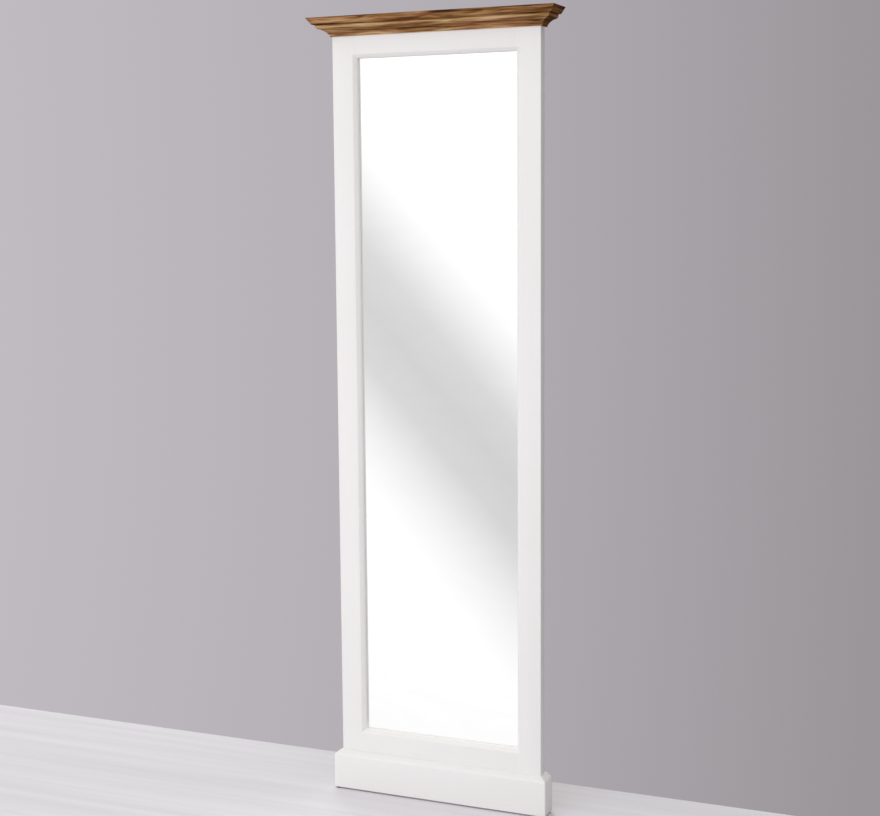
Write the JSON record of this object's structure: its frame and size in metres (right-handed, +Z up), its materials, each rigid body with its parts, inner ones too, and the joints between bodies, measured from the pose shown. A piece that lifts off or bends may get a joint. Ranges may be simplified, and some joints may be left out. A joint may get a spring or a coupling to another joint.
{
  "type": "framed mirror",
  "caption": "Tall mirror in a painted timber frame with a stained crown cornice and a chamfered plinth, to stand on a floor against a wall or hang from keyhole plates.",
  "frame": {"origin": "middle of the mirror's footprint on the floor, at the foot of its bounding box", "axes": "+X to the viewer's right across the width, +Y from the front to the wall, +Z up"},
  "size_m": [0.59, 0.077, 1.8],
  "materials": {
    "white_paint": "satin white paint on pine, raw at the back",
    "stained_pine": "antique brown stained pine, satin lacquer",
    "beech_dowel": "raw beech",
    "silvered_glass": "silvered float glass with seamed edges",
    "hardboard": "raw hardboard",
    "zinc_steel": "bright zinc plate",
    "felt": "pressed felt",
    "foam_tape": "white foam tape",
    "setting_block": "matt"
  },
  "bodies": {
    "mirror_frame": {"left_stile": "white_paint", "right_stile": "white_paint", "top_rail": "white_paint", "bottom_rail": "white_paint", "frame_dowels": "beech_dowel", "cornice_front": "stained_pine", "cornice_left_return": "stained_pine", "cornice_right_return": "stained_pine", "cornice_dowels": "beech_dowel", "cornice_screws": "zinc_steel", "plinth_front": "white_paint", "plinth_left_return": "white_paint", "plinth_right_return": "white_paint", "plinth_dowels": "beech_dowel", "plinth_screws": "zinc_steel", "floor_glides": "felt", "glazing_tape": "foam_tape", "setting_blocks": "setting_block", "mirror_pane": "silvered_glass", "back_panel": "hardboard", "turn_button_screws": "zinc_steel", "hanger_plates": "zinc_steel", "hanger_screws": "zinc_steel"},
    "turn_button_top": {"turn_button_top": "zinc_steel"},
    "turn_button_bottom": {"turn_button_bottom": "zinc_steel"},
    "turn_button_left_1": {"turn_button_left_1": "zinc_steel"},
    "turn_button_right_1": {"turn_button_right_1": "zinc_steel"},
    "turn_button_left_2": {"turn_button_left_2": "zinc_steel"},
    "turn_button_right_2": {"turn_button_right_2": "zinc_steel"},
    "turn_button_left_3": {"turn_button_left_3": "zinc_steel"},
    "turn_button_right_3": {"turn_button_right_3": "zinc_steel"},
    "turn_button_left_4": {"turn_button_left_4": "zinc_steel"},
    "turn_button_right_4": {"turn_button_right_4": "zinc_steel"}
  },
  "joints": [
    {"name": "turn_top", "type": "hinge", "parent": "mirror_frame", "child": "turn_button_top", "pos_m": [0, 0.03135, 1.73], "axis": [0, 1, 0], "continuous": true},
    {"name": "turn_bottom", "type": "hinge", "parent": "mirror_frame", "child": "turn_button_bottom", "pos_m": [0, 0.03135, 0.128], "axis": [0, 1, 0], "continuous": true},
    {"name": "turn_left_1", "type": "hinge", "parent": "mirror_frame", "child": "turn_button_left_1", "pos_m": [-0.211, 0.03135, 0.287], "axis": [0, 1, 0], "continuous": true},
    {"name": "turn_right_1", "type": "hinge", "parent": "mirror_frame", "child": "turn_button_right_1", "pos_m": [0.211, 0.03135, 0.287], "axis": [0, 1, 0], "continuous": true},
    {"name": "turn_left_2", "type": "hinge", "parent": "mirror_frame", "child": "turn_button_left_2", "pos_m": [-0.211, 0.03135, 0.715], "axis": [0, 1, 0], "continuous": true},
    {"name": "turn_right_2", "type": "hinge", "parent": "mirror_frame", "child": "turn_button_right_2", "pos_m": [0.211, 0.03135, 0.715], "axis": [0, 1, 0], "continuous": true},
    {"name": "turn_left_3", "type": "hinge", "parent": "mirror_frame", "child": "turn_button_left_3", "pos_m": [-0.211, 0.03135, 1.143], "axis": [0, 1, 0], "continuous": true},
    {"name": "turn_right_3", "type": "hinge", "parent": "mirror_frame", "child": "turn_button_right_3", "pos_m": [0.211, 0.03135, 1.143], "axis": [0, 1, 0], "continuous": true},
    {"name": "turn_left_4", "type": "hinge", "parent": "mirror_frame", "child": "turn_button_left_4", "pos_m": [-0.211, 0.03135, 1.571], "axis": [0, 1, 0], "continuous": true},
    {"name": "turn_right_4", "type": "hinge", "parent": "mirror_frame", "child": "turn_button_right_4", "pos_m": [0.211, 0.03135, 1.571], "axis": [0, 1, 0], "continuous": true}
  ]
}
